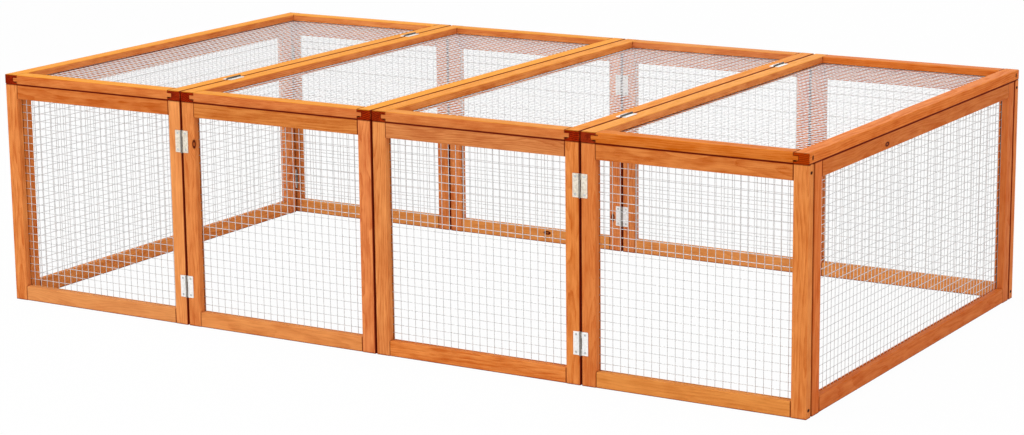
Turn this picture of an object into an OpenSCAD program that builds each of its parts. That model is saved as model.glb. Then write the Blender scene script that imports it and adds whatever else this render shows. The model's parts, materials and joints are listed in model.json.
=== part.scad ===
// Outdoor rabbit run. Ten framed wire panels are hinged end to end into a wall that folds
// flat like a concertina, and a roof of two hinged pairs of panels rests on top of it.
// Every frame is four grooved sticks: two stiles with two rails tongued in between them,
// round a sheet of welded square mesh.
// The origin is on the ground in the middle of the run: +X is its length, -Y its front, +Z up.

/* [Run] */
// Length of the run from end to end
run_l = 1810; // [1400:10:2400]
// Width of the run from front to back, over half its length if the walls are to fold flat
run_w = 1000; // [700:10:1400]
// Height of the wall panels
wall_h = 455; // [350:5:700]
// Gap between neighbouring panels in a wall and in the roof
panel_gap = 3; // [2:0.5:5]
// Height left clear between the walls and the roof
roof_seat = 0.4; // [0.2:0.1:2]

/* [Frame sticks] */
// Width of a stile or rail
stick_w = 30; // [25:1:45]
// Thickness of the sticks, and so of every panel
stick_t = 20; // [16:1:30]
// Radius of the eased long edges
ease_r = 2; // [0.5:0.5:4]
// Width of the groove for the mesh
groove_w = 3; // [2.8:0.1:5]
// Depth of the groove
groove_d = 6; // [4:0.5:9]
// Thickness of the lip of wood between the groove and a panel's inner face
groove_lip = 3.5; // [2.8:0.1:6]
// Thickness of the tongues at the rails' ends
tongue_t = 7.5; // [5.5:0.5:8]
// Length of the tongues
tongue_l = 9; // [6:0.5:14]
// Play of a tongue in its slot in the stile, on each side, above it and at its end
tongue_play = 0.1; // [0.05:0.05:0.15]

/* [Mesh] */
// Distance between the middles of neighbouring wires
mesh_pitch = 16; // [8:1:40]
// Diameter of the wires
wire_d = 1.2; // [0.6:0.1:1.2]
// How much wider and thicker than a wire the strip is that the wires end in, in the grooves
selvedge_over = 0.2; // [0.1:0.1:0.3]
// Distance from the mesh's edge to the bottom of its groove
mesh_play = 0.3; // [0.2:0.1:1]

/* [Hinges] */
// Height of a hinge
hinge_h = 44.5; // [36:0.5:70]
// Reach of a wall hinge's leaf from the pin's axis
leaf_w = 15.5; // [14:0.5:18]
// Reach of a roof hinge's leaf from the pin's axis
roof_leaf_w = 11; // [10:0.5:18]
// Thickness of the leaves
leaf_t = 1; // [0.8:0.1:1.2]
// Outside radius of the knuckles
knuckle_r = 2; // [1.9:0.1:3]
// Radius of the hinge pins
pin_r = 1.1; // [0.8:0.1:1.2]
// Play round a pin in its knuckles
pin_play = 0.05; // [0.02:0.01:0.1]
// Gap between neighbouring knuckles
knuckle_gap = 0.3; // [0.2:0.1:0.6]
// Height of the knuckle at each end
end_knuckle_h = 12; // [6:1:15]
// Distance from the wood to the knuckles
knuckle_lift = 0.2; // [0.1:0.1:0.5]
// Distance from a wall's top or bottom to the middle of its hinges
wall_hinge_in = 80; // [60:1:120]
// Distance from the roof's front or back to the middle of its hinges
roof_hinge_in = 175; // [80:1:250]
// Distance of a corner's pins inwards from the end panel's inner face
corner_pin_in = 2; // [0:0.5:3]

/* [Screws and nails] */
// Radius of a hinge screw's shank
screw_r = 1.4; // [1:0.1:1.8]
// Radius of a hinge screw's countersunk head
screw_head_r = 2.5; // [2.2:0.1:3]
// Length of a hinge screw in the wood
screw_l = 14; // [8:1:15]
// Distance from a wall hinge's pin axis to its screws
screw_out = 9.5; // [8:0.5:11]
// Distance from a roof hinge's pin axis to its screws
roof_screw_out = 6.6; // [6:0.1:7.4]
// Distance from a hinge's ends to its screws
screw_end_in = 5.5; // [4:0.5:10]
// Radius of a frame nail
nail_r = 1; // [0.8:0.1:1.1]
// Radius of a frame nail's head
nail_head_r = 1.8; // [1.4:0.1:2.2]
// Thickness of a frame nail's head
nail_head_t = 0.8; // [0.5:0.1:1.2]
// Length of a frame nail
nail_l = 44; // [40:1:60]
// Play round a screw or nail in its hole
fix_play = 0.05; // [0.02:0.01:0.2]

/* [Hidden] */
$fn = 32;
wood = [0.86, 0.46, 0.19];
rail_wood = [0.9, 0.51, 0.23];
galvanised = [0.78, 0.8, 0.81];
zinc = [0.86, 0.86, 0.83];

bays = 4;
bay_l = run_l / bays;
pin_proud = knuckle_lift + knuckle_r;
corner_gap = 2 * pin_proud;
end_l = run_w - 2 * (stick_t + corner_gap);
roof_top = wall_h + roof_seat + stick_t;

groove_y = stick_t - groove_lip - groove_w;
tongue_h = stick_w - groove_d;
mesh_in = stick_w - groove_d + mesh_play;
selvedge = wire_d + selvedge_over;
grid_gap = 0.04;
wire_apart = selvedge + grid_gap;
wire_sides = 24;
nail_in = stick_w / 2;
middle_h = hinge_h - 2 * end_knuckle_h;
screw_up = hinge_h / 2 - screw_end_in;
peen_h = 0.6;
peen_gap = 0.2;
peen_r = pin_r + 0.4;
cut = 1;
wall_hinge = [wall_hinge_in, leaf_w, screw_out];
roof_hinge = [roof_hinge_in, roof_leaf_w, roof_screw_out];

PANEL_NAMES = [
    "left_end", "right_end",
    for (side = ["front", "back", "roof"]) for (bay = [1 : bays]) str(side, "_", bay)
];
PIECES = ["stiles", "rails", "mesh", "hardware"];

// Left edge and width of a bay's panel. The two end panels of a row have a gap on one side only.
function bay_x(bay) = (bay - 1) * bay_l - run_l / 2 + (bay > 1 ? panel_gap / 2 : 0);
function bay_w(bay) = bay_l - (bay == 1 || bay == bays ? 1 : 2) * panel_gap / 2;

// Where a hinge leaf is screwed to a panel of width w: [along, through, turn, flip, has pin].
// A panel's own frame runs along its width in x, through its thickness in y from its outer
// face, and up its height in z.
function outer_left(pin) = [-panel_gap / 2, 0, 180, 1, pin];
function outer_right(w, pin) = [w + panel_gap / 2, 0, 180, 0, pin];
function inner_left(pin) = [-panel_gap / 2, stick_t, 0, 0, pin];
function inner_right(w, pin) = [w + panel_gap / 2, stick_t, 0, 1, pin];
function corner_left(pin) = [stick_t + corner_pin_in, stick_t, 0, 1, pin];
function corner_right(w, pin) = [w - stick_t - corner_pin_in, stick_t, 0, 0, pin];
function edge_left(pin) = [0, stick_t + corner_pin_in, 90, 1, pin];
function edge_right(w, pin) = [w, stick_t + corner_pin_in, -90, 0, pin];

// Walls fold like a concertina: hinges outside, inside, outside, with the corners inside.
function wall_leaves(bay, w) =
    bay == 1 ? [corner_left(false), outer_right(w, false)] :
    bay == 2 ? [outer_left(true), inner_right(w, true)] :
    bay == 3 ? [inner_left(false), outer_right(w, false)] :
    [outer_left(true), corner_right(w, true)];
// The end panels carry their leaves on their edges, closed between edge and wall.
function end_leaves(pin) = [edge_left(pin), edge_right(end_l, pin)];
// The roof's outer bays are lids, hinged on top to the bays next to them.
function roof_leaves(bay, w) =
    bay == 1 ? [outer_right(w, false)] :
    bay == 2 ? [outer_left(true)] :
    bay == 3 ? [outer_right(w, true)] :
    [outer_left(false)];

// Section of a stick: outer edge on x = 0, grooved inner edge on x = stick_w.
module stick_section() {
    difference() {
        union() {
            translate([ease_r, 0]) square([stick_w - 2 * ease_r, stick_t]);
            translate([0, ease_r]) square([stick_w, stick_t - 2 * ease_r]);
            for (x = [ease_r, stick_w - ease_r])
                for (y = [ease_r, stick_t - ease_r])
                    translate([x, y]) circle(r = ease_r);
        }
        translate([stick_w - groove_d, groove_y]) square([groove_d + cut, groove_w]);
    }
}

// Puts its child at the left and, turned over, at the right of a panel of width w.
module both_sides(w) {
    children();
    translate([w, 0, 0]) mirror([1, 0, 0]) children();
}

// Puts its child at the foot and, turned over, at the head of a panel of height h.
module both_ends(h) {
    children();
    translate([0, 0, h]) mirror([0, 0, 1]) children();
}

// Puts its child at both hinges of each leaf place of a panel of height h.
module at_leaves(leaves, h, hinge) {
    for (leaf = leaves)
        for (z = [hinge[0], h - hinge[0]])
            translate([leaf[0], leaf[1], z]) rotate(leaf[2]) mirror([leaf[3], 0, 0]) children();
}

// Puts its child at a hinge leaf's two screws, with z out of the wood from its surface.
module at_screws(hinge) {
    for (z = [-screw_up, screw_up])
        translate([hinge[2], 0, z]) rotate([-90, 0, 0]) children();
}

// A nail driven in +x from a stile's outer edge, or with play its hole.
module nail(play) {
    translate([0, stick_t / 2, nail_in]) rotate([0, 90, 0]) {
        translate([0, 0, play > 0 ? -cut : 0])
            cylinder(r = nail_head_r + play, h = nail_head_t + (play > 0 ? cut : 0));
        cylinder(r = nail_r + play, h = nail_l + play);
    }
}

// A rail's tongue into the stile on the left, or with play the slot for it, open at the stile's foot.
module tongue(play) {
    open = play > 0 ? cut : 0;
    translate([stick_w - tongue_l - play, stick_t / 2 - tongue_t / 2 - play, -open])
        cube([tongue_l + play + cut, tongue_t + 2 * play, tongue_h + play + open]);
}

// Two uprights, grooved for their whole height, slotted at both ends for the rails' tongues.
module stiles(w, h, leaves, hinge) {
    color(wood)
        difference() {
            both_sides(w) linear_extrude(h) stick_section();
            both_sides(w) both_ends(h) tongue(tongue_play);
            both_sides(w) both_ends(h) nail(fix_play);
            at_leaves(leaves, h, hinge)
                at_screws(hinge) translate([0, 0, -screw_l - fix_play])
                    cylinder(r = screw_r + fix_play, h = screw_l + cut);
        }
}

// Two rails between the stiles, tongued at both ends and grooved for the mesh.
module rails(w, h) {
    color(rail_wood)
        both_ends(h)
            difference() {
                union() {
                    translate([stick_w, 0, 0]) rotate([90, 0, 90])
                        linear_extrude(w - 2 * stick_w) mirror([1, -1]) stick_section();
                    both_sides(w) tongue(0);
                }
                both_sides(w) nail(fix_play);
            }
}

// A ladder of parallel round wires, span wide and rise tall, ending in two selvedge strips.
module wires(span, rise) {
    count = floor((span - selvedge) / mesh_pitch);
    first = (span - count * mesh_pitch) / 2;
    for (i = [0 : count])
        translate([first + i * mesh_pitch, 0, selvedge / 2])
            cylinder(d = wire_d, h = rise - selvedge, $fn = wire_sides);
    for (z = [0, rise - selvedge])
        translate([0, -selvedge / 2, z]) cube([span, selvedge, selvedge]);
}

// The welded mesh: upright wires outside, level wires inside, held in the grooves all round.
module mesh(w, h) {
    span = w - 2 * mesh_in;
    rise = h - 2 * mesh_in;
    color(galvanised)
        translate([mesh_in, groove_y + groove_w / 2, mesh_in]) {
            translate([0, -wire_apart / 2, 0]) wires(span, rise);
            translate([0, wire_apart / 2, rise]) rotate([0, 90, 0]) wires(rise, span);
        }
}

// A hinge leaf. Wood lies on y = 0, the pin runs in z at y = pin_proud, the plate reaches +x.
module leaf(has_pin, hinge) {
    notch = knuckle_r + knuckle_gap;
    difference() {
        union() {
            translate([0, 0, -hinge_h / 2]) cube([hinge[1], leaf_t, hinge_h]);
            translate([0, pin_proud, -hinge_h / 2]) cylinder(r = knuckle_r, h = hinge_h);
        }
        translate([-notch, -cut, 0])
            if (has_pin)
                translate([0, 0, -middle_h / 2]) cube([2 * notch, pin_proud + 2 * notch, middle_h]);
            else
                both_ends(0)
                    translate([0, 0, middle_h / 2 - knuckle_gap])
                        cube([2 * notch, pin_proud + 2 * notch, end_knuckle_h + 2 * knuckle_gap]);
        translate([0, pin_proud, -hinge_h / 2 - cut])
            cylinder(r = pin_r + pin_play, h = hinge_h + 2 * cut);
        at_screws(hinge)
            cylinder(r1 = screw_r + fix_play, r2 = screw_head_r + fix_play, h = leaf_t);
    }
}

// A hinge pin, peened over at both ends.
module hinge_pin() {
    reach = hinge_h / 2 + peen_gap;
    translate([0, pin_proud, 0]) {
        translate([0, 0, -reach]) cylinder(r = pin_r, h = 2 * reach);
        for (z = [-reach - peen_h, reach])
            translate([0, 0, z]) cylinder(r = peen_r, h = peen_h);
    }
}

// A countersunk hinge screw, its head flush with the leaf.
module screw() {
    cylinder(r1 = screw_r, r2 = screw_head_r, h = leaf_t);
    translate([0, 0, -screw_l]) cylinder(r = screw_r, h = screw_l);
}

// A panel's hinge leaves, the pins it carries, its hinge screws and its frame nails.
module hardware(w, h, leaves, hinge) {
    color(zinc) {
        for (place = leaves)
            at_leaves([place], h, hinge) {
                leaf(place[4], hinge);
                at_screws(hinge) screw();
                if (place[4]) hinge_pin();
            }
        both_sides(w) both_ends(h) nail(0);
    }
}

// One piece of a panel of width w and height h, in the panel's own frame.
module piece(name, w, h, leaves, hinge) {
    if (name == "stiles") stiles(w, h, leaves, hinge);
    if (name == "rails") rails(w, h);
    if (name == "mesh") mesh(w, h);
    if (name == "hardware") hardware(w, h, leaves, hinge);
}

// Pieces of each row of panels, in their places in the run.
module front(bay, name) {
    w = bay_w(bay);
    translate([bay_x(bay), -run_w / 2, 0])
        piece(name, w, wall_h, wall_leaves(bay, w), wall_hinge);
}

module back(bay, name) {
    mirror([0, 1, 0]) front(bay, name);
}

module roof(bay, name) {
    w = bay_w(bay);
    translate([bay_x(bay), -run_w / 2, roof_top]) rotate([-90, 0, 0])
        piece(name, w, run_w, roof_leaves(bay, w), roof_hinge);
}

module left_end(name, carries_pins = true) {
    translate([-run_l / 2, end_l / 2, 0]) rotate(-90)
        piece(name, end_l, wall_h, end_leaves(carries_pins), wall_hinge);
}

module right_end(name) {
    mirror([1, 0, 0]) left_end(name, false);
}

for (name = PIECES) {
    left_end(name);
    right_end(name);
    for (bay = [1 : bays]) {
        front(bay, name);
        back(bay, name);
        roof(bay, name);
    }
}
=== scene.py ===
# The looks of an outdoor rabbit run: ten framed wire panels hinged into a wall that folds flat,
# under a roof of two hinged pairs of panels. It is put together in the order a maker would:
# sticks, frames, welded mesh, hinges, screws, nails, and then the studio that it stands in.
import json
import math
import random

import bmesh
import bpy
from mathutils import Matrix, Vector

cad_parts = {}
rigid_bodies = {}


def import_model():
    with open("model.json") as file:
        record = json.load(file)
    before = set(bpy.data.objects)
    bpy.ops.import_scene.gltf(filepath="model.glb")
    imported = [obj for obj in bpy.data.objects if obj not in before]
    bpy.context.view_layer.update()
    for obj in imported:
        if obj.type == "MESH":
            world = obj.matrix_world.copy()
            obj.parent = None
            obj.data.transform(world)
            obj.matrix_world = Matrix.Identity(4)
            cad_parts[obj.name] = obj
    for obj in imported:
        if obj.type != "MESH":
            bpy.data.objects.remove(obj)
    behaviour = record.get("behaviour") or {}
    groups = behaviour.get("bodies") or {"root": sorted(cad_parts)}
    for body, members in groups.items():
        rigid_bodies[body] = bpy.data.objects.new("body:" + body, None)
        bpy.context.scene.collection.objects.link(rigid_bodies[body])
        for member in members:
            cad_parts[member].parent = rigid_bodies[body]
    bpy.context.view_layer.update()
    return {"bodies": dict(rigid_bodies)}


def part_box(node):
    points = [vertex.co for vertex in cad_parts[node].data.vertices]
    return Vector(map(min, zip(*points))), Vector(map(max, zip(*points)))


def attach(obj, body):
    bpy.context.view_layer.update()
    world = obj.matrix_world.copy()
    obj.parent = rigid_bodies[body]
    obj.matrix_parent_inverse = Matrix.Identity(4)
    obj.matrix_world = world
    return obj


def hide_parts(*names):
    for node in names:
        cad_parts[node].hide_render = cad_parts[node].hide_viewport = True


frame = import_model()
MM = 0.001


# The sticks. Softwood planed to 30 x 20 mm with its long edges eased and one groove, 3 mm wide
# and 6 mm deep, along the inner edge. Each is cut square to length and lightly sanded at the saw
# cuts. A stick's own x runs in from its outer edge, y in from its outer face, z along it.
STICK_W, STICK_T = 30 * MM, 20 * MM
GROOVE_W, GROOVE_D, GROOVE_LIP = 3 * MM, 6 * MM, 3.5 * MM
EASED_EDGE, SANDED_EDGE = 2 * MM, 0.35 * MM


def start_alone():
    if bpy.context.object and bpy.context.object.mode != "OBJECT":
        bpy.ops.object.mode_set(mode="OBJECT")
    bpy.ops.object.select_all(action="DESELECT")


def take(piece, *others):
    start_alone()
    for each in (piece, *others):
        each.select_set(True)
    bpy.context.view_layer.objects.active = piece


def pick(kind, wanted):
    """In edit mode, selects the faces, edges or verts whose middle and way pass the test."""
    bpy.ops.mesh.select_mode(type=kind[:-1].upper())
    bpy.ops.mesh.select_all(action="DESELECT")
    shape = bmesh.from_edit_mesh(bpy.context.object.data)
    for part in getattr(shape, kind):
        if kind == "faces":
            at, way = part.calc_center_median(), part.normal
        elif kind == "edges":
            start, end = (vertex.co for vertex in part.verts)
            at, way = (start + end) / 2, (end - start).normalized()
        else:
            at, way = part.co, part.normal
        if wanted(at, way):
            part.select_set(True)
    bmesh.update_edit_mesh(bpy.context.object.data)


def shift_all(move):
    bpy.ops.mesh.select_all(action="SELECT")
    bpy.ops.transform.translate(value=move)


def stretch_and_shift(size, move):
    bpy.ops.mesh.select_all(action="SELECT")
    bpy.ops.transform.resize(value=size, center_override=(0, 0, 0))
    bpy.ops.transform.translate(value=move)


def fit(piece, kind, **settings):
    """Adds a modifier and applies it."""
    take(piece)
    made = piece.modifiers.new(kind.title(), kind)
    for setting, value in settings.items():
        setattr(made, setting, value)
    bpy.ops.object.modifier_apply(modifier=made.name)


def work_in(piece, cutter, operation):
    """Cuts a second shape out of a piece, or makes the two one."""
    fit(piece, "BOOLEAN", object=cutter, operation=operation, solver="EXACT")
    bpy.data.objects.remove(cutter)


def round_bar(radius, low, high, sides, axis="Z"):
    """A round bar from low to high along an axis, open in edit mode."""
    start_alone()
    bpy.ops.mesh.primitive_cylinder_add(vertices=sides, radius=radius, depth=high - low,
                                        enter_editmode=True)
    middle = (low + high) / 2
    if axis == "X":
        bpy.ops.transform.rotate(value=math.pi / 2, orient_axis="Y", center_override=(0, 0, 0))
    bpy.ops.transform.translate(value=(middle, 0, 0) if axis == "X" else (0, 0, middle))
    return bpy.context.object


def saw_stick(length):
    """The plain stick: its section as a flat outline, drawn out to its length."""
    start_alone()
    bpy.ops.mesh.primitive_plane_add(size=1, enter_editmode=True)
    stick = bpy.context.object
    stretch_and_shift((STICK_W, STICK_T, 1), (STICK_W / 2, STICK_T / 2, 0))
    lips = [STICK_T - GROOVE_LIP - GROOVE_W, STICK_T - GROOVE_LIP]
    for cut_at, across in [((0, lip, 0), (0, 1, 0)) for lip in lips] + [
            ((STICK_W - GROOVE_D, 0, 0), (1, 0, 0))]:
        bpy.ops.mesh.select_all(action="SELECT")
        bpy.ops.mesh.bisect(plane_co=cut_at, plane_no=across)
    pick("faces", lambda at, way: at.x > STICK_W - GROOVE_D and lips[0] < at.y < lips[1])
    bpy.ops.mesh.delete(type="FACE")
    bpy.ops.mesh.select_all(action="SELECT")
    bpy.ops.mesh.dissolve_limited(angle_limit=0.01)
    pick("verts", lambda at, way: abs(at.x - STICK_W / 2) > STICK_W / 2 - MM
         and abs(at.y - STICK_T / 2) > STICK_T / 2 - MM)
    bpy.ops.mesh.bevel(offset=EASED_EDGE, segments=4, affect="VERTICES")
    bpy.ops.mesh.select_all(action="SELECT")
    bpy.ops.mesh.extrude_region_move(TRANSFORM_OT_translate={"value": (0, 0, length)})
    bpy.ops.mesh.select_all(action="SELECT")
    bpy.ops.mesh.normals_make_consistent(inside=False)
    fit(stick, "BEVEL", width=SANDED_EDGE, segments=2, limit_method="ANGLE",
        angle_limit=math.radians(60))
    return stick


# The stain. A thin orange wood stain, brushed on: it lies darkest in the late rings and on the cut
# ends. Painted shade darkens the crevices, nail holes, joints and seams, and painted light yellows
# the roof's top. The rings are the tree's own, round a heart that lies off to one side of each
# stick, and they bend round its knots. Its lengths are in millimetres.
PALE_GRAIN, DEEP_GRAIN = (235, 151, 88), (186, 88, 40)
PALE_END, DEEP_END = (186, 62, 28), (96, 16, 6)
# the last of these is painted light: the yellower colour of the roof's lit top
REDDENED, YELLOWED, PAINTED_TOP_LIGHT = (194, 82, 6), (244, 178, 104), (244, 170, 64)
KNOT_HEART, KNOT_RIM = (150, 66, 24), (72, 14, 4)
# at the nails and joints these colours are stain together with painted shade of the holes and
# crevices
NAIL_STAIN_AND_SHADE, JOINT_STAIN_AND_SHADE, ROUND_TONGUES = (44, 10, 2), (96, 28, 8), (82, 4, 0)
# painted shade: the colours of the shade in the seams between panels and in crevices
SEAM_SHADE, OCCLUSION_SHADE = (112, 18, 0), (128, 24, 2)
HEART_X, HEART_Y, RING_PITCH = (-25, 45), (-75, -22), (1.9, 4.2)
RING_WANDER, RING_WAVER, KNOT_PUSH, KNOT_RIM_R = 26, 2.2, 9, 3.1
NAIL_SPOT, END_LINE, SEAM_LINE, BY_EDGE, OCCLUSION_REACH = (2.2, 3.8), (0.5, 2.2), (1.0, 2.2), (2, 4), 6
TO_MM = 1000
TONGUE_T, TONGUE_L, TONGUE_H, TONGUE_PLAY = 7.5 * MM, 9 * MM, STICK_W - GROOVE_D, 0.1 * MM


def from_screen(red, green, blue):
    """A colour as it is seen on a screen, from 0 to 255, for a shader."""
    return tuple((c / 255 / 12.92) if c < 10.3 else ((c / 255 + 0.055) / 1.055) ** 2.4
                 for c in (red, green, blue)) + (1,)


def finish_nodes(name):
    finish = bpy.data.materials.new(name)
    finish.use_nodes = True
    return finish, finish.node_tree, finish.node_tree.nodes["Principled BSDF"]


def layer(tree, kind, *feeds, **settings):
    """Adds a node, gives it its settings, and feeds its inputs in order from sockets or values."""
    made = tree.nodes.new("ShaderNode" + kind)
    for setting, value in settings.items():
        setattr(made, setting, value)
    open_inputs = [s for s in made.inputs if s.enabled]
    for feed, socket in zip(feeds, open_inputs):
        if isinstance(feed, bpy.types.NodeSocket):
            tree.links.new(feed, socket)
        else:
            socket.default_value = feed
    return [s for s in made.outputs if s.enabled][0]


def calc(tree, operation, *feeds):
    return layer(tree, "Math", *feeds, operation=operation)


def total(tree, first, *others):
    for other in others:
        first = calc(tree, "ADD", first, other)
    return first


def product(tree, first, *others):
    for other in others:
        first = calc(tree, "MULTIPLY", first, other)
    return first


def distance(tree, one_way, other_way):
    return calc(tree, "SQRT", total(tree, product(tree, one_way, one_way),
                                    product(tree, other_way, other_way)))


def ramp(tree, feed, low, high, to_low=0.0, to_high=1.0, smooth=True):
    return layer(tree, "MapRange", feed, low, high, to_low, to_high,
                 interpolation_type="SMOOTHSTEP" if smooth else "LINEAR")


def written(tree, name, output="Vector"):
    """What a stick's own attribute of this name says at each point."""
    made = tree.nodes.new("ShaderNodeAttribute")
    made.attribute_name = name
    return made.outputs[output]


def split(tree, vector):
    made = tree.nodes.new("ShaderNodeSeparateXYZ")
    tree.links.new(vector, made.inputs[0])
    return made.outputs


def blend_colour(tree, share, one, other):
    """Goes from one colour to the other as share goes from 0 to 1. Plain colours are a screen's."""
    made = tree.nodes.new("ShaderNodeMix")
    made.data_type = "RGBA"
    for socket, feed in zip((made.inputs[0], made.inputs[6], made.inputs[7]), (share, one, other)):
        if isinstance(feed, bpy.types.NodeSocket):
            tree.links.new(feed, socket)
        else:
            socket.default_value = from_screen(*feed)
    return made.outputs[2]


def cloudy(tree, place, stretch, seed, detail=2.0):
    """Noise on the stick, stretched in x, y and z (in millimetres), different for each stick."""
    spread = layer(tree, "VectorMath", place, tuple(1 / s for s in stretch), operation="MULTIPLY")
    made = tree.nodes.new("ShaderNodeTexNoise")
    made.noise_dimensions = "4D"
    tree.links.new(spread, made.inputs["Vector"])
    tree.links.new(seed, made.inputs["W"])
    made.inputs["Scale"].default_value = 1
    made.inputs["Detail"].default_value = detail
    return made.outputs[0]


def swing(tree, noise, reach, middle=0.5):
    """Noise as a swing to both sides of nothing."""
    return product(tree, calc(tree, "SUBTRACT", noise, middle), reach)


def emboss(tree, shader, height, strength, distance):
    relief = tree.nodes.new("ShaderNodeBump")
    relief.inputs["Strength"].default_value = strength
    relief.inputs["Distance"].default_value = distance
    tree.links.new(height, relief.inputs["Height"])
    tree.links.new(relief.outputs[0], shader.inputs["Normal"])


def stain(name, cut_end):
    """The finish of a stick's long grain, or of its cut ends."""
    finish, tree, shader = finish_nodes(name)
    link = tree.links.new
    grain = written(tree, "grain")
    place = layer(tree, "VectorMath", grain, (TO_MM, TO_MM, TO_MM), operation="MULTIPLY")
    x, y, z = split(tree, place)
    seed, length, nail_at = split(tree, written(tree, "board"))
    # painted shade along the seams, and how much painted light the roof's top gets
    shade_beside, shade_under, top_light = split(tree, written(tree, "seam"))
    chance = tree.nodes.new("ShaderNodeTexWhiteNoise")
    chance.noise_dimensions = "1D"
    link(seed, chance.inputs["W"])
    lot = tree.nodes.new("ShaderNodeSeparateColor")
    link(chance.outputs["Color"], lot.inputs[0])
    first_lot, second_lot, third_lot = lot.outputs
    # the heart of the tree, and rings about it that wander along the stick
    heart_x = ramp(tree, first_lot, 0, 1, *HEART_X, smooth=False)
    heart_y = ramp(tree, second_lot, 0, 1, *HEART_Y, smooth=False)
    from_heart = distance(tree, calc(tree, "SUBTRACT", x, heart_x),
                          calc(tree, "SUBTRACT", y, heart_y))
    wander = swing(tree, cloudy(tree, place, (70, 70, 260), seed, detail=1.5), RING_WANDER)
    waver = swing(tree, cloudy(tree, place, (9, 9, 34), seed), RING_WAVER)
    # a knot, longer than it is wide, pushes the rings aside
    offset = layer(tree, "VectorMath", grain, written(tree, "knot"), operation="SUBTRACT")
    offset = layer(tree, "VectorMath", offset, (TO_MM, TO_MM, 0.48 * TO_MM),
                   operation="MULTIPLY")
    reach = tree.nodes.new("ShaderNodeVectorMath")
    reach.operation = "LENGTH"
    link(offset, reach.inputs[0])
    from_knot = calc(tree, "DIVIDE", reach.outputs["Value"], written(tree, "knot_size", "Fac"))
    push = product(tree, ramp(tree, from_knot, 1, 17, 1, 0), KNOT_PUSH)
    rings = total(tree, from_heart, wander, waver, push)
    pitch = ramp(tree, third_lot, 0, 1, *RING_PITCH, smooth=False)
    phase = calc(tree, "FRACT", calc(tree, "DIVIDE", rings, pitch))
    late = product(tree, calc(tree, "POWER", phase, 2.2), ramp(tree, phase, 0.93, 1, 1, 0))
    fibre = cloudy(tree, place, (0.8, 0.8, 30), seed, detail=3)
    streak = cloudy(tree, place, (3.2, 3.2, 75), seed)
    patch = cloudy(tree, place, (15, 15, 48), seed, detail=3)
    depth = total(tree, product(tree, late, 1.1 if cut_end else 0.3), swing(tree, fibre, 0.7),
                  swing(tree, streak, 0.55), swing(tree, patch, 0.9, middle=0.44))
    pale, deep = (PALE_END, DEEP_END) if cut_end else (PALE_GRAIN, DEEP_GRAIN)
    colour = blend_colour(tree, ramp(tree, depth, -0.25, 0.65), pale, deep)
    # some boards took the stain redder, and some yellower, where this is negative
    redness = written(tree, "redness", "Fac")
    colour = blend_colour(tree, redness, colour, REDDENED)
    colour = blend_colour(tree, product(tree, redness, -1), colour, YELLOWED)
    # painted light: the roof's top, which catches most light, is painted a little yellower
    lit_top_share = product(tree, top_light, ramp(tree, y, 0.4, 1.6, 0.5, 0))
    colour = blend_colour(tree, lit_top_share, colour, PAINTED_TOP_LIGHT)
    # each board takes the stain a little differently
    tone = tree.nodes.new("ShaderNodeHueSaturation")
    link(ramp(tree, second_lot, 0, 1, 0.497, 0.502, smooth=False), tone.inputs["Hue"])
    link(ramp(tree, third_lot, 0, 1, 1.0, 1.05, smooth=False), tone.inputs["Saturation"])
    own_tone = ramp(tree, first_lot, 0, 1, 0.95, 1.05, smooth=False)
    link(product(tree, written(tree, "tone", "Fac"), own_tone), tone.inputs["Value"])
    link(colour, tone.inputs["Color"])
    # the knot's brown heart and its dark rim
    heart = ramp(tree, from_knot, 2.6, 6.5, 0.8, 0)
    colour = blend_colour(tree, heart, tone.outputs[0], KNOT_HEART)
    rim = calc(tree, "ABSOLUTE", calc(tree, "SUBTRACT", from_knot, KNOT_RIM_R))
    colour = blend_colour(tree, ramp(tree, rim, 0.7, 1.7, 0.95, 0), colour, KNOT_RIM)
    # stain runs together round the tongues; at the nails and in the joints at both ends the
    # darkening is stain with painted shade of the nail holes and the joint crevices
    off_middle = calc(tree, "SUBTRACT", y, STICK_T / 2 / MM)
    aside = calc(tree, "ABSOLUTE", off_middle)
    if cut_end:
        slot_in = (STICK_W - TONGUE_L - TONGUE_PLAY) / MM
        slot_half = (TONGUE_T / 2 + TONGUE_PLAY) / MM
        round_slot = calc(tree, "MAXIMUM", calc(tree, "SUBTRACT", slot_in, x),
                          calc(tree, "SUBTRACT", aside, slot_half))
        colour = blend_colour(tree, ramp(tree, round_slot, 0.3, 1.5, 0.8, 0), colour, ROUND_TONGUES)
    else:
        to_end = calc(tree, "MINIMUM", z, calc(tree, "SUBTRACT", product(tree, length, TO_MM), z))
        from_nail = distance(tree, calc(tree, "SUBTRACT", to_end, nail_at),
                             product(tree, off_middle, 0.65))
        # a dark spot round each nail head: stain with painted shade of its sunk hole
        nail_stain_and_shade = product(tree, ramp(tree, from_nail, *NAIL_SPOT, 1, 0), ramp(tree, x, 0.9, 2.2, 1, 0))
        colour = blend_colour(tree, nail_stain_and_shade, colour, NAIL_STAIN_AND_SHADE)
        tongue_half = TONGUE_T / 2 / MM
        off_tongue = ramp(tree, aside, tongue_half - 0.15, tongue_half + 0.15, smooth=False)
        # a dark line at each rail end: stain with painted shade of the joint's crevice
        joint_stain_and_shade = product(tree, ramp(tree, to_end, *END_LINE, 0.85, 0), off_tongue,
                              ramp(tree, to_end, -0.1, 0, smooth=False))
        colour = blend_colour(tree, joint_stain_and_shade, colour, JOINT_STAIN_AND_SHADE)
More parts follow.
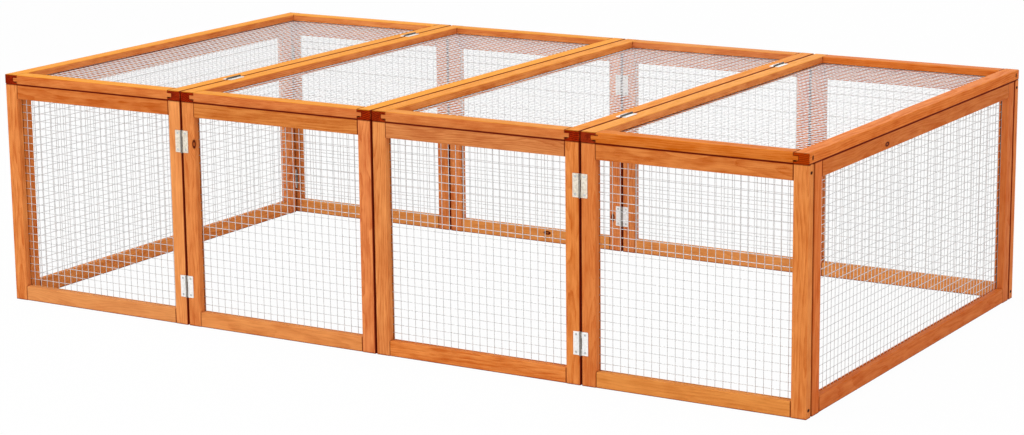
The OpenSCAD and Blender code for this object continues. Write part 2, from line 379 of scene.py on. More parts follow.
    # painted shade in the seams between panels: along the outer edge, or along the inner one
    from_inner = calc(tree, "SUBTRACT", STICK_T / MM, y)
    by_corner = calc(tree, "MAXIMUM", ramp(tree, y, *BY_EDGE, 1, 0),
                     ramp(tree, from_inner, *BY_EDGE, 1, 0))
    shade_beside = product(tree, shade_beside, by_corner, ramp(tree, x, *SEAM_LINE, 1, 0))
    shade_under = product(tree, shade_under, ramp(tree, x, *BY_EDGE, 1, 0),
                    ramp(tree, from_inner, *SEAM_LINE, 1, 0))
    painted_seam_shade = product(tree, calc(tree, "MAXIMUM", shade_beside, shade_under), 0.92)
    colour = blend_colour(tree, painted_seam_shade, colour, SEAM_SHADE)
    # painted shade: an ambient occlusion node darkens the wood wherever nearby wood hides it from
    # the light, less so on the inner edge by the groove
    occlusion = tree.nodes.new("ShaderNodeAmbientOcclusion")
    occlusion.samples = 8
    occlusion.inputs["Distance"].default_value = OCCLUSION_REACH * MM
    occlusion_shade = product(tree, ramp(tree, occlusion.outputs["AO"], 0.42, 0.86, 0.97, 0),
                    ramp(tree, x, 23, 25.5, 1, 0.15))
    link(blend_colour(tree, occlusion_shade, colour, OCCLUSION_SHADE), shader.inputs["Base Color"])
    roughened = product(tree, total(tree, fibre, late), 0.12)
    link(total(tree, 0.66 if cut_end else 0.44, roughened), shader.inputs["Roughness"])
    shader.inputs["Specular IOR Level"].default_value = 0.03
    raised = total(tree, product(tree, fibre, 0.7), product(tree, late, 0.5))
    emboss(tree, shader, raised, 0.5, 0.25 * MM)
    return finish


long_grain = stain("orange_stained_softwood", False)
end_grain = stain("orange_stained_end_grain", True)


def coat(piece, *finishes):
    piece.data.materials.clear()
    for finish in finishes:
        piece.data.materials.append(finish)


def stain_stick(stick, length):
    """Writes each point's place on its stick, which the grain follows, and stains the stick."""
    grain = stick.data.attributes.new("grain", "FLOAT_VECTOR", "POINT")
    for point, vertex in zip(grain.data, stick.data.vertices):
        point.vector = vertex.co
    coat(stick, long_grain, end_grain)
    for face in stick.data.polygons:
        sawn = abs(face.normal.z) > 0.9 and min(face.center.z, length - face.center.z) < MM
        face.material_index = 1 if sawn else 0


# The stiles. Two sticks stand the full height of each panel, grooves facing in, with an open slot
# for a rail's tongue at both ends. Two nails go in from each one's outer edge into the rails' ends,
# their heads driven a little under the wood.
NAIL_R, NAIL_HEAD_R, NAIL_HEAD_T, NAIL_L = 1 * MM, 1.8 * MM, 0.8 * MM, 44 * MM
NAIL_IN, HOLE_PLAY, HOLE_SIDES = 15 * MM, 0.05 * MM, 16


def block(size, middle):
    """A plain block, open in edit mode."""
    start_alone()
    bpy.ops.mesh.primitive_cube_add(size=1, enter_editmode=True)
    stretch_and_shift(size, middle)
    return bpy.context.object


def saw_stile(length):
    stile = saw_stick(length)
    for end in (0, length):
        slot = block((2 * (TONGUE_L + TONGUE_PLAY), TONGUE_T + 2 * TONGUE_PLAY,
                      2 * (TONGUE_H + TONGUE_PLAY)), (STICK_W, STICK_T / 2, end))
        work_in(stile, slot, "DIFFERENCE")
    for at in (NAIL_IN, length - NAIL_IN):
        for radius, deep in ((NAIL_HEAD_R, NAIL_HEAD_T), (NAIL_R, STICK_W + MM)):
            hole = round_bar(radius + HOLE_PLAY, -MM, deep, HOLE_SIDES, "X")
            shift_all((0, STICK_T / 2, at))
            work_in(stile, hole, "DIFFERENCE")
    stain_stick(stile, length)
    return stile


# Each panel's frame: x along its width, y in from its outer face, z up its height.
X, Y, Z = Vector((1, 0, 0)), Vector((0, 1, 0)), Vector((0, 0, 1))


def turned_to(x, y, z, origin):
    """The place that turns a piece's x, y and z to these ways, from this origin."""
    return Matrix.Translation(origin) @ Matrix((x, y, z)).transposed().to_4x4()


panels = {}
for body in frame["bodies"]:
    low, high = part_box(body + "_stiles")
    if body.startswith("front"):
        place = turned_to(X, Y, Z, low)
    elif body.startswith("back"):
        place = turned_to(X, -Y, Z, (low.x, high.y, low.z))
    elif body.startswith("roof"):
        place = turned_to(X, -Z, Y, (low.x, low.y, high.z))
    elif body == "left_end":
        place = turned_to(-Y, X, Z, (low.x, high.y, low.z))
    else:
        place = turned_to(-Y, -X, Z, (high.x, high.y, low.z))
    size = place.to_3x3().inverted() @ (high - low)
    panels[body] = {"place": place, "w": abs(size.x), "h": abs(size.z)}


def set_out(pattern, name, place):
    """A copy of a pattern piece with its own mesh, laid in its place."""
    piece = bpy.data.objects.new(name, pattern.data.copy())
    bpy.context.scene.collection.objects.link(piece)
    piece.data.transform(place)
    if place.determinant() < 0:
        piece.data.flip_normals()
    return piece


def fasten(piece, body, node):
    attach(piece, body)
    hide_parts(body + "_" + node)


# Knots that show: how far along the stick, in from its outer edge and from its outer face, in mm.
KNOTS = {
    "front_2_left_stile": (372, 28.5, 0), "back_2_right_stile": (75, 22, 20),
    "back_2_bottom_rail": (228, 22, 20), "roof_4_front_rail": (3, 0, 5),
    "right_end_top_rail": (610, 20, 0), "roof_2_right_stile": (620, 18, 20),
    "left_end_bottom_rail": (300, 8, 0), "back_2_top_rail": (120, 15, 0),
    "back_1_left_stile": (210, 9, 0), "roof_1_back_rail": (260, 14, 20),
}
KNOT_SIZES = {"roof_4_front_rail": 0.3}
# Far enough off a stick to leave it without.
NO_KNOT, NO_NAIL = (-900, 0, 0), -99
# How much painted light yellows each roof panel's top, and how much redder than most a panel's
# sticks or one stick is, or how much yellower where this is negative.
TOP_LIGHT_SHARES = {"roof_1": 1.3, "roof_2": 1.3, "roof_3": 0.8, "roof_4": 0.2, "roof_4_left_stile": 1}
REDNESS = {
    "right_end": 0.42, "roof_4": 0.32, "roof_4_left_stile": 0, "back_4": 0.12,
    "front_1_right_stile": -0.28, "front_2_left_stile": -0.05, "front_3_left_stile": -0.1,
    "front_4_left_stile": 0.3, "front_4_right_stile": -0.08, "front_1_top_rail": 0.2,
    "front_1_bottom_rail": -0.4, "front_2_bottom_rail": -0.25, "front_4_bottom_rail": -0.3,
    "roof_1_front_rail": 0.18, "roof_2_front_rail": 0.18, "roof_3_front_rail": 0.22,
    "roof_4_front_rail": 0.32, "left_end_bottom_rail": -0.15,
    **{f"back_{bay}_bottom_rail": -0.4 for bay in (1, 2, 3, 4)},
}
boards = random.Random(1810)


def entry(table, piece, body):
    """A stick's own entry in a table, or else its panel's."""
    return table.get(piece.name, table.get(body, 0))


def settle_stick(piece, body, node, length, nail_at=NO_NAIL, tone=1.0, shade_beside=0, shade_under=0):
    """Gives a stick its own board and knot, smooths its eased edges and fastens it."""
    seed = boards.uniform(0, 900)
    along, across, deep = KNOTS.get(piece.name, NO_KNOT)
    count = len(piece.data.vertices)
    # the third attribute carries painted shade along the seams and painted light on the roof's top
    for name, value in (("board", (seed, length, nail_at)),
                        ("knot", (across * MM, deep * MM, along * MM)),
                        ("seam", (shade_beside, shade_under, entry(TOP_LIGHT_SHARES, piece, body)))):
        own = piece.data.attributes.new(name, "FLOAT_VECTOR", "POINT")
        own.data.foreach_set("vector", list(value) * count)
    for name, value in (("tone", tone), ("redness", entry(REDNESS, piece, body)),
                        ("knot_size", KNOT_SIZES.get(piece.name, 1))):
        own = piece.data.attributes.new(name, "FLOAT", "POINT")
        own.data.foreach_set("value", [value] * count)
    take(piece)
    bpy.ops.object.shade_smooth()
    fit(piece, "WEIGHTED_NORMAL", keep_sharp=True)
    fasten(piece, body, node)


# Painted shade lies along a stile's outer edge in full where another panel is beside it, and less on
# an end panel. On the first and last stile of a row it lies by the inner face, where the end panel
# meets.
CORNER_SEAM_SHADE = 0.4
stile_patterns = {}
for body, panel in panels.items():
    length = round(panel["h"], 5)
    if length not in stile_patterns:
        stile_patterns[length] = saw_stile(length)
    end_panel = body.endswith("end")
    mirrored = Matrix.Translation((panel["w"], 0, 0)) @ Matrix.Scale(-1, 4, X)
    for side, turn in zip(("back", "front") if end_panel else ("left", "right"),
                          (Matrix.Identity(4), mirrored)):
        stile = set_out(stile_patterns[length], f"{body}_{side}_stile", panel["place"] @ turn)
        free = not end_panel and body[-1] + side in ("1left", "4right")
        shade_beside = 0 if free else CORNER_SEAM_SHADE if end_panel else 1
        settle_stick(stile, body, "stiles", length, nail_at=NAIL_IN / MM, shade_beside=shade_beside,
                     shade_under=1 if free else 0)
for pattern in stile_patterns.values():
    bpy.data.objects.remove(pattern)


# The rails. Two sticks lie between the stiles, one at each end of them, with a tongue cut on both
# of their ends that fills a stile's slot; it shows in the stiles' ends at the roof's front and back.
TONGUE_EDGE = 0.2 * MM
TOP_RAIL_TONE, RAIL_TONE = 0.88, 0.97


def saw_rail(length):
    rail = saw_stick(length)
    tongue = block((TONGUE_H, TONGUE_T, length + 2 * TONGUE_L),
                   (TONGUE_H / 2, STICK_T / 2, length / 2))
    pick("edges", lambda at, way: abs(at.z - length / 2) > length / 2 + TONGUE_L - MM)
    bpy.ops.mesh.bevel(offset=TONGUE_EDGE, segments=1, affect="EDGES")
    work_in(rail, tongue, "UNION")
    for end in (-1, 1):
        hole = round_bar(NAIL_R + HOLE_PLAY, 0, NAIL_L - STICK_W + TONGUE_L + MM, HOLE_SIDES)
        shift_all((NAIL_IN, STICK_T / 2, -MM))
        if end > 0:
            bpy.ops.transform.resize(value=(1, 1, -1), center_override=(0, 0, 0))
            bpy.ops.mesh.normals_make_consistent(inside=False)
        bpy.ops.transform.translate(value=(0, 0, length / 2 + end * (length / 2 + TONGUE_L)))
        work_in(rail, hole, "DIFFERENCE")
    stain_stick(rail, length)
    return rail


rail_patterns = {}
for body, panel in panels.items():
    length = round(panel["w"] - 2 * STICK_W, 5)
    if length not in rail_patterns:
        rail_patterns[length] = saw_rail(length)
    on_roof = body.startswith("roof")
    for name, turn in zip(("front", "back") if on_roof else ("bottom", "top"),
                          (turned_to(Z, Y, X, (STICK_W, 0, 0)),
                           turned_to(-Z, Y, X, (STICK_W, 0, panel["h"])))):
        rail = set_out(rail_patterns[length], f"{body}_{name}_rail", panel["place"] @ turn)
        # top rails get painted shade along their seam under the roof, and roof rails along the lower
        # outer edge where they sit on the walls
        settle_stick(rail, body, "rails", length, tone=TOP_RAIL_TONE if name == "top" else RAIL_TONE,
                     shade_beside=1 if name == "top" else 0, shade_under=1 if on_roof else 0)
for pattern in rail_patterns.values():
    bpy.data.objects.remove(pattern)


# The mesh. Round 1.2 mm galvanised wires at 16 mm, uprights outside and level wires inside, welded
# where they cross, with a bead of zinc on each weld. The sheet's edges lie in the grooves.
WIRE_D, WIRE_SIDES, WIRE_PITCH, WIRE_OFF = 1.2 * MM, 8, 16 * MM, 0.57 * MM
SHEET_IN, SHEET_EDGE = 24.3 * MM, 1.4 * MM
WELD_R, WELD_FLAT = 1 * MM, 0.75


def speckle(tree, where, scale, detail):
    made = tree.nodes.new("ShaderNodeTexNoise")
    made.inputs["Scale"].default_value = scale
    made.inputs["Detail"].default_value = detail
    tree.links.new(where, made.inputs["Vector"])
    return made.outputs[0]


def galvanise(name, bright, dull):
    """Zinc from the bath: soft grey spangles, dull with some bright grains."""
    finish, tree, shader = finish_nodes(name)
    where = tree.nodes.new("ShaderNodeTexCoord").outputs["Object"]
    spangle = speckle(tree, where, 420, 3)
    tree.links.new(blend_colour(tree, ramp(tree, spangle, 0.3, 0.7), bright, dull),
                   shader.inputs["Base Color"])
    tree.links.new(ramp(tree, spangle, 0.3, 0.7, 0.34, 0.5), shader.inputs["Roughness"])
    shader.inputs["Metallic"].default_value = 0.4
    emboss(tree, shader, spangle, 0.3, 0.08 * MM)
    return finish


wall_wire = galvanise("galvanised_wire", (222, 221, 219), (186, 187, 188))
# the roof's wire is a lighter copy of the same zinc: painted light where it faces the lamps above
roof_wire_painted_light = galvanise("bright_galvanised_wire", (240, 240, 240), (214, 216, 218))


def wire_row(span):
    """How many wires lie across a span, and how far in the first one is."""
    steps = math.floor((span - SHEET_EDGE) / WIRE_PITCH)
    return steps + 1, (span - steps * WIRE_PITCH) / 2


def repeat(piece, count, step):
    fit(piece, "ARRAY", count=count, use_relative_offset=False, use_constant_offset=True,
        constant_offset_displace=step)


def join_as(name, parts):
    take(*parts)
    if len(parts) > 1:
        bpy.ops.object.join()
    piece = bpy.context.object
    piece.name = piece.data.name = name
    return piece


for body, panel in panels.items():
    span, rise = panel["w"] - 2 * SHEET_IN, panel["h"] - 2 * SHEET_IN
    (uprights, first_x), (levels, first_z) = wire_row(span), wire_row(rise)
    upright = round_bar(WIRE_D / 2, 0, rise, WIRE_SIDES)
    shift_all((first_x, -WIRE_OFF, 0))
    repeat(upright, uprights, (WIRE_PITCH, 0, 0))
    level = round_bar(WIRE_D / 2, 0, span, WIRE_SIDES, "X")
    shift_all((0, WIRE_OFF, first_z))
    repeat(level, levels, (0, 0, WIRE_PITCH))
    start_alone()
    bpy.ops.mesh.primitive_uv_sphere_add(segments=4, ring_count=2, radius=WELD_R,
                                         enter_editmode=True)
    stretch_and_shift((1, WELD_FLAT, 1), (first_x, 0, first_z))
    weld = bpy.context.object
    repeat(weld, uprights, (WIRE_PITCH, 0, 0))
    repeat(weld, levels, (0, 0, WIRE_PITCH))
    wire = join_as(body + "_wire", (upright, level, weld))
    wire.data.transform(panel["place"] @ Matrix.Translation(
        (SHEET_IN, STICK_T - GROOVE_LIP - GROOVE_W / 2, SHEET_IN)))
    if panel["place"].determinant() < 0:
        wire.data.flip_normals()
    bpy.ops.object.shade_smooth_by_angle(angle=math.radians(60))
    coat(wire, roof_wire_painted_light if body.startswith("roof") else wall_wire)
    fasten(wire, body, "mesh")


# The hinges. Pressed from 1 mm steel strip, rolled round a 2.2 mm pin and bright zinc plated.
# One leaf has a knuckle at each end and carries the pin, the other has the middle knuckle.
# Wood lies on a leaf's y = 0, its pin runs in z, and its plate reaches out to x.
HINGE_H, LEAF_T = 44.5 * MM, 1 * MM
WALL_LEAF_W, ROOF_LEAF_W, WALL_SCREW_OUT, ROOF_SCREW_OUT = 15.5 * MM, 11 * MM, 9.5 * MM, 6.6 * MM
KNUCKLE_R, KNUCKLE_OUT, KNUCKLE_GAP, END_KNUCKLE = 2 * MM, 2.2 * MM, 0.3 * MM, 12 * MM
PIN_R, PIN_PLAY, PEEN_R, PEEN_H, PEEN_GAP = 1.1 * MM, 0.05 * MM, 1.5 * MM, 0.6 * MM, 0.2 * MM
SCREW_R, SCREW_HEAD_R, SCREW_L = 1.4 * MM, 2.5 * MM, 14 * MM
SCREW_UP = HINGE_H / 2 - 5.5 * MM
LEAF_CORNER, PRESSED_EDGE, ROLLED_EDGE = 1.2 * MM, 0.15 * MM, 0.2 * MM
SINK_WIDER, SINK_DEEPER, ROLL_SIDES, BORE_SIDES = 0.3 * MM, 0.4 * MM, 24, 16


def plated(name, bright, dark, rough, metallic, shine=0.5):
    """Zinc plate: pale, faintly mottled, with rubbed lines along the strip."""
    finish, tree, shader = finish_nodes(name)
    where = tree.nodes.new("ShaderNodeTexCoord").outputs["Object"]
    strip = layer(tree, "VectorMath", where, (2600, 2600, 90), operation="MULTIPLY")
    share = total(tree, product(tree, speckle(tree, where, 260, 4), 0.6),
                  product(tree, speckle(tree, strip, 1, 2), 0.4))
    tree.links.new(blend_colour(tree, ramp(tree, share, 0.35, 0.65), bright, dark),
                   shader.inputs["Base Color"])
    tree.links.new(ramp(tree, share, 0.35, 0.65, rough - 0.06, rough + 0.1),
                   shader.inputs["Roughness"])
    shader.inputs["Metallic"].default_value = metallic
    shader.inputs["Specular IOR Level"].default_value = shine
    emboss(tree, shader, share, 0.25, 0.05 * MM)
    return finish


zinc = plated("zinc_plate", (241, 232, 216), (206, 194, 174), 0.36, 0.4)
# the knuckle finishes are darker copies of the zinc: painted shade along the barrels
rolled_zinc = plated("rolled_zinc", (158, 152, 146), (86, 82, 78), 0.3, 0.6)
white_zinc = plated("white_zinc_plate", (250, 249, 247), (230, 228, 224), 0.4, 0.25)
roof_knuckle_shade_zinc = plated("dark_rolled_zinc", (104, 100, 94), (44, 42, 38), 0.4, 0.3, shine=0.2)
pin_steel = plated("pin_steel", (196, 196, 194), (150, 150, 150), 0.3, 0.9)


def press_leaf(has_pin, leaf_w, screw_out):
    """A leaf: plate with rounded outer corners, straps to its knuckles, and countersunk holes."""
    half, middle = HINGE_H / 2, HINGE_H / 2 - END_KNUCKLE
    notch = KNUCKLE_R + KNUCKLE_GAP
    if has_pin:
        knuckles = [(-half, -middle), (middle, half)]
    else:
        knuckles = [(-middle + KNUCKLE_GAP, middle - KNUCKLE_GAP)]
    leaf = block((leaf_w - notch, LEAF_T, HINGE_H), ((leaf_w + notch) / 2, LEAF_T / 2, 0))
    pick("edges", lambda at, way: at.x > leaf_w - 0.1 * MM and abs(at.z) > half - 0.1 * MM)
    bpy.ops.mesh.bevel(offset=LEAF_CORNER, segments=4, affect="EDGES")
    for at in sorted({abs(end) for pair in knuckles for end in pair} - {half}):
        for side in (-1, 1):
            bpy.ops.mesh.select_all(action="SELECT")
            bpy.ops.mesh.bisect(plane_co=(0, 0, side * at), plane_no=(0, 0, 1))
    pick("faces", lambda at, way: way.x < -0.9 and any(a < at.z < b for a, b in knuckles))
    bpy.ops.mesh.extrude_region_move(TRANSFORM_OT_translate={"value": (-notch, 0, 0)})
    fit(leaf, "BEVEL", width=PRESSED_EDGE, segments=1, limit_method="ANGLE",
        angle_limit=math.radians(60))
    for low, high in knuckles:
        roll = round_bar(KNUCKLE_R, low, high, ROLL_SIDES)
        pick("edges", lambda at, way: abs(way.z) < 0.1)
        bpy.ops.mesh.bevel(offset=ROLLED_EDGE, segments=1, affect="EDGES")
        shift_all((0, KNUCKLE_OUT, 0))
        work_in(leaf, roll, "UNION")
    bore = round_bar(PIN_R + PIN_PLAY, -half - MM, half + MM, BORE_SIDES)
    shift_all((0, KNUCKLE_OUT, 0))
    work_in(leaf, bore, "DIFFERENCE")
    for side in (-1, 1):
        start_alone()
        bpy.ops.mesh.primitive_cone_add(vertices=20, radius1=SCREW_R,
                                        radius2=SCREW_HEAD_R + SINK_WIDER,
                                        depth=LEAF_T + SINK_DEEPER, enter_editmode=True)
        bpy.ops.transform.rotate(value=math.pi / 2, orient_axis="X", center_override=(0, 0, 0))
        sink = bpy.context.object
        shape = bmesh.from_edit_mesh(sink.data)
        widest = max(shape.verts, key=lambda vertex: math.hypot(vertex.co.x, vertex.co.z))
        if widest.co.y < 0:
            bpy.ops.transform.resize(value=(1, -1, 1), center_override=(0, 0, 0))
            bpy.ops.mesh.normals_make_consistent(inside=False)
        bpy.ops.transform.translate(value=(screw_out, LEAF_T / 2, side * SCREW_UP))
        work_in(leaf, sink, "DIFFERENCE")
    take(leaf)
    bpy.ops.object.shade_smooth_by_angle(angle=math.radians(30))
    # the knuckles take the darker zinc, painted shade along the barrel
    coat(leaf, *((zinc, rolled_zinc) if leaf_w > ROOF_LEAF_W else (white_zinc, roof_knuckle_shade_zinc)))
    for face in leaf.data.polygons:
        rolled = math.hypot(face.center.x, face.center.y - KNUCKLE_OUT) < KNUCKLE_R + 0.05 * MM
        face.material_index = 1 if rolled else 0
    return leaf


def peen_pin():
    """A hinge pin: a cut steel wire with both ends hammered into low domes."""
    reach = HINGE_H / 2 + PEEN_GAP
    pin = round_bar(PIN_R, -reach, reach, BORE_SIDES)
    for end in (-1, 1):
        pick("faces", lambda at, way: way.z * end > 0.9 and at.z * end > reach - 0.01 * MM)
        for grow, rise in ((PEEN_R / PIN_R, 0), (1, 0.35 * PEEN_H), (0.75, 0.4 * PEEN_H),
                           (0.5, 0.25 * PEEN_H)):
            bpy.ops.mesh.extrude_region_move(
                TRANSFORM_OT_translate={"value": (0, 0, end * rise)})
            bpy.ops.transform.resize(value=(grow, grow, 1))
    shift_all((0, KNUCKLE_OUT, 0))
    bpy.ops.mesh.remove_doubles(threshold=0.001 * MM)
    bpy.ops.mesh.normals_make_consistent(inside=False)
    bpy.ops.object.mode_set(mode="OBJECT")
    bpy.ops.object.shade_smooth_by_angle(angle=math.radians(40))
    coat(pin, pin_steel)
    return pin


# Where each panel's leaves are screwed on: x, y, turn about z, turned over. A leaf's place comes
# with whether it carries the pin.
GAP, CORNER_PIN_IN = 3 * MM, 2 * MM
WALL_HINGE_IN, ROOF_HINGE_IN = 80 * MM, 175 * MM


def leaf_places(body, w, h):
    inner = STICK_T + CORNER_PIN_IN
    at = {
        "outer_left": (-GAP / 2, 0, 180, True), "outer_right": (w + GAP / 2, 0, 180, False),
        "inner_left": (-GAP / 2, STICK_T, 0, False), "inner_right": (w + GAP / 2, STICK_T, 0, True),
        "corner_left": (inner, STICK_T, 0, True), "corner_right": (w - inner, STICK_T, 0, False),
        "edge_left": (0, inner, 90, True), "edge_right": (w, inner, -90, False),
    }
    row, bay = body.rsplit("_", 1)
    if bay == "end":
        chosen, pins = ("edge_left", "edge_right"), (row == "left",) * 2
    elif row == "roof":
        chosen = ("outer_right",) if bay in "13" else ("outer_left",)
        pins = (bay in "23",)
    else:
        chosen = {"1": ("corner_left", "outer_right"), "2": ("outer_left", "inner_right"),
                  "3": ("inner_left", "outer_right"), "4": ("outer_left", "corner_right")}[bay]
        pins = (bay in "24",) * 2
    hinge_in = ROOF_HINGE_IN if row == "roof" else WALL_HINGE_IN
    for name, pin in zip(chosen, pins):
        x, y, turn, over = at[name]
        for z in (hinge_in, h - hinge_in):
            yield (Matrix.Translation((x, y, z)) @ Matrix.Rotation(math.radians(turn), 4, "Z")
                   @ Matrix.Scale(-1 if over else 1, 4, X)), pin


leaf_patterns = {(row, pin): press_leaf(pin, *sizes) for pin in (True, False) for row, sizes in (
    ("wall", (WALL_LEAF_W, WALL_SCREW_OUT)), ("roof", (ROOF_LEAF_W, ROOF_SCREW_OUT)))}
pin_pattern = peen_pin()
for body, panel in panels.items():
    leaves, pins = [], []
    row = "roof" if body.startswith("roof") else "wall"
    for place, pin in leaf_places(body, panel["w"], panel["h"]):
        # the upper leaves along the front are a little browner than the rest
        brown = body.startswith("front") and place.translation.z > panel["h"] / 2
        place = panel["place"] @ place
        leaf = set_out(leaf_patterns[row, pin], "leaf", place)
        if not brown:
            leaf.data.materials[0] = white_zinc
        leaves.append(leaf)
        if pin:
            pins.append(set_out(pin_pattern, "pin", place))
    fasten(join_as(body + "_hinge_leaves", leaves), body, "hardware")
    if pins:
        fasten(join_as(body + "_hinge_pins", pins), body, "hardware")
for pattern in (*leaf_patterns.values(), pin_pattern):
    bpy.data.objects.remove(pattern)


# The hinge screws. Small countersunk steel wood screws, zinc plated, with a cross recess; two
# hold each leaf. Each stops turned its own way.
SCREW_PLAY, SCREW_RIM, SCREW_DISH = 0.1 * MM, 0.5 * MM, 0.12 * MM
RECESS_L, RECESS_W, RECESS_D = 2.7 * MM, 0.55 * MM, 0.9 * MM
screw_zinc = plated("screw_zinc", (222, 222, 220), (176, 176, 176), 0.3, 0.6)


def turn_screw():
    start_alone()
    bpy.ops.mesh.primitive_cone_add(vertices=16, radius1=SCREW_R - SCREW_PLAY,
                                    radius2=SCREW_HEAD_R - SCREW_PLAY, depth=LEAF_T,
                                    enter_editmode=True)
    screw = bpy.context.object
    bpy.ops.transform.translate(value=(0, 0, LEAF_T / 2))
    pick("faces", lambda at, way: way.z > 0.9)
    bpy.ops.mesh.inset(thickness=SCREW_RIM, depth=SCREW_DISH)
    pick("faces", lambda at, way: way.z < -0.9)
    for grow, rise in ((1, SCREW_L * 0.8), (0.15, SCREW_L * 0.19)):
        bpy.ops.mesh.extrude_region_move(TRANSFORM_OT_translate={"value": (0, 0, -rise)})
        bpy.ops.transform.resize(value=(grow, grow, 1))
    for long, wide in ((RECESS_L, RECESS_W), (RECESS_W, RECESS_L)):
        work_in(screw, block((long, wide, RECESS_D), (0, 0, LEAF_T)), "DIFFERENCE")
    take(screw)
    bpy.ops.object.shade_smooth_by_angle(angle=math.radians(30))
    coat(screw, screw_zinc)
    return screw


screw_pattern = turn_screw()
turns = random.Random(96)
for body, panel in panels.items():
    screws = []
    screw_out = ROOF_SCREW_OUT if body.startswith("roof") else WALL_SCREW_OUT
    for place, pin in leaf_places(body, panel["w"], panel["h"]):
        for side in (-1, 1):
            stand = (Matrix.Translation((screw_out, 0, side * SCREW_UP))
                     @ Matrix.Rotation(-math.pi / 2, 4, "X")
                     @ Matrix.Rotation(turns.uniform(0, math.pi / 2), 4, "Z"))
            screws.append(set_out(screw_pattern, "screw", panel["place"] @ place @ stand))
    fasten(join_as(body + "_hinge_screws", screws), body, "hardware")
bpy.data.objects.remove(screw_pattern)


# The frame nails. Plain steel brads with small flat heads, driven through each stile's outer
# edge into the end of each rail; they are dark with stain and with painted shade of their sunk
# holes.
NAIL_SUNK, NAIL_TIP, NAIL_RIM, NAIL_CROWN = 0.3 * MM, 2 * MM, 0.35 * MM, 0.08 * MM
# the nail heads' dark colour is stain together with painted shade of their sunk holes
nail_steel_stain_and_shade = plated("stained_nail_steel", (34, 16, 10), (18, 7, 4), 0.75, 0, shine=0.04)


def head_nail():
    nail = round_bar(NAIL_HEAD_R, NAIL_SUNK, NAIL_HEAD_T, 12)
    pick("faces", lambda at, way: way.z < -0.9)
    bpy.ops.mesh.inset(thickness=NAIL_RIM, depth=NAIL_CROWN)
    pick("faces", lambda at, way: way.z > 0.9)
    bpy.ops.mesh.inset(thickness=NAIL_HEAD_R - NAIL_R)
    for grow, rise in ((1, NAIL_L - NAIL_TIP - MM), (0.2, NAIL_TIP)):
        bpy.ops.mesh.extrude_region_move(TRANSFORM_OT_translate={"value": (0, 0, rise)})
        bpy.ops.transform.resize(value=(grow, grow, 1))
    bpy.ops.object.mode_set(mode="OBJECT")
    bpy.ops.object.shade_smooth_by_angle(angle=math.radians(30))
    coat(nail, nail_steel_stain_and_shade)
    return nail


nail_pattern = head_nail()
for body, panel in panels.items():
    nails = []
    for at in (NAIL_IN, panel["h"] - NAIL_IN):
        for drive in (turned_to(-Z, Y, X, (0, STICK_T / 2, at)),
                      turned_to(Z, Y, -X, (panel["w"], STICK_T / 2, at))):
            nails.append(set_out(nail_pattern, "nail", panel["place"] @ drive))
    fasten(join_as(body + "_nails", nails), body, "hardware")
bpy.data.objects.remove(nail_pattern)


# The studio. A white floor that keeps the run's soft shadow, a white room, and wide soft lamps
# above, in front, to the right and behind. The camera stands at the front right, a little above.
FLOOR_SIZE, FLOOR_DROP, FLOOR_GREY, FLOOR_GLOW, ROOM_LIGHT = 60, 0.3 * MM, 0.8, 0.97, 0.52


def seen_ray(tree):
    """1 where the camera, a reflection or a clear material looks, 0 for the light itself."""
    path = tree.nodes.new("ShaderNodeLightPath").outputs
    seen = calc(tree, "MAXIMUM", path["Is Camera Ray"], path["Is Glossy Ray"])
    return calc(tree, "MAXIMUM", seen, path["Is Transmission Ray"])


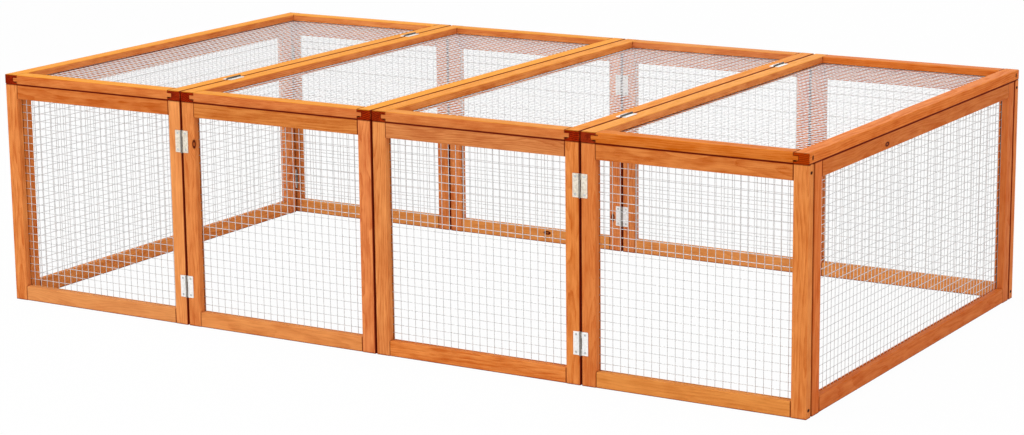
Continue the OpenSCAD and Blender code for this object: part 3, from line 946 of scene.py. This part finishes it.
start_alone()
bpy.ops.mesh.primitive_plane_add(size=FLOOR_SIZE, location=(0, 0, -FLOOR_DROP))
floor = bpy.context.object
floor.name = "studio_floor"
white_floor, tree, shader = finish_nodes("white_floor")
shader.inputs["Base Color"].default_value = (FLOOR_GREY, FLOOR_GREY, FLOOR_GREY, 1)
shader.inputs["Roughness"].default_value = 0.9
shader.inputs["Specular IOR Level"].default_value = 0.1
glow = tree.nodes.new("ShaderNodeEmission")
mixed = tree.nodes.new("ShaderNodeMixShader")
tree.links.new(product(tree, seen_ray(tree), FLOOR_GLOW), mixed.inputs[0])
tree.links.new(shader.outputs[0], mixed.inputs[1])
tree.links.new(glow.outputs[0], mixed.inputs[2])
tree.links.new(mixed.outputs[0], tree.nodes["Material Output"].inputs["Surface"])
floor.data.materials.append(white_floor)

room = bpy.data.worlds.new("white_room")
room.use_nodes = True
bpy.context.scene.world = room
tree = room.node_tree
sky = tree.nodes["Background"]
sky.inputs["Color"].default_value = (1, 1, 1, 1)
tree.links.new(ramp(tree, seen_ray(tree), 0, 1, ROOM_LIGHT, 1.0, smooth=False),
               sky.inputs["Strength"])

# Each lamp's place and size are in metres, and its power is in watts.
AIM = Vector((0, 0, 0.2))
for name, at, size, power in (
        ("lamp_above", (-0.6, -0.8, 5.2), 4.5, 128),
        ("lamp_front", (-3.0, -5.8, 2.6), 4.0, 132),
        ("lamp_right", (5.6, -2.0, 2.4), 4.0, 98),
        ("lamp_back", (-1.0, 5.5, 3.2), 4.0, 50)):
    light = bpy.data.lights.new(name, "AREA")
    light.shape, light.size, light.energy = "DISK", size, power
    lamp = bpy.data.objects.new(name, light)
    bpy.context.scene.collection.objects.link(lamp)
    lamp.location = at
    lamp.rotation_euler = (AIM - Vector(at)).to_track_quat("-Z", "Y").to_euler()

# The camera's place is in metres, and its turns are in degrees.
EYE_AT, TURNED, TIPPED, ROLLED = (2.809, -4.626, 1.367), 31.22, 77.54, -0.62
eye = bpy.data.cameras.new("photo_camera")
eye.sensor_width, eye.lens = 36, 94.5
eye.clip_start, eye.clip_end = 0.1, 100
camera = bpy.data.objects.new("photo_camera", eye)
bpy.context.scene.collection.objects.link(camera)
stand = Matrix.Translation(EYE_AT)
for angle, axis in ((TURNED, "Z"), (TIPPED, "X"), (ROLLED, "Z")):
    stand = stand @ Matrix.Rotation(math.radians(angle), 4, axis)
camera.matrix_world = stand
bpy.context.scene.camera = camera
bpy.context.scene.view_settings.view_transform = "Standard"
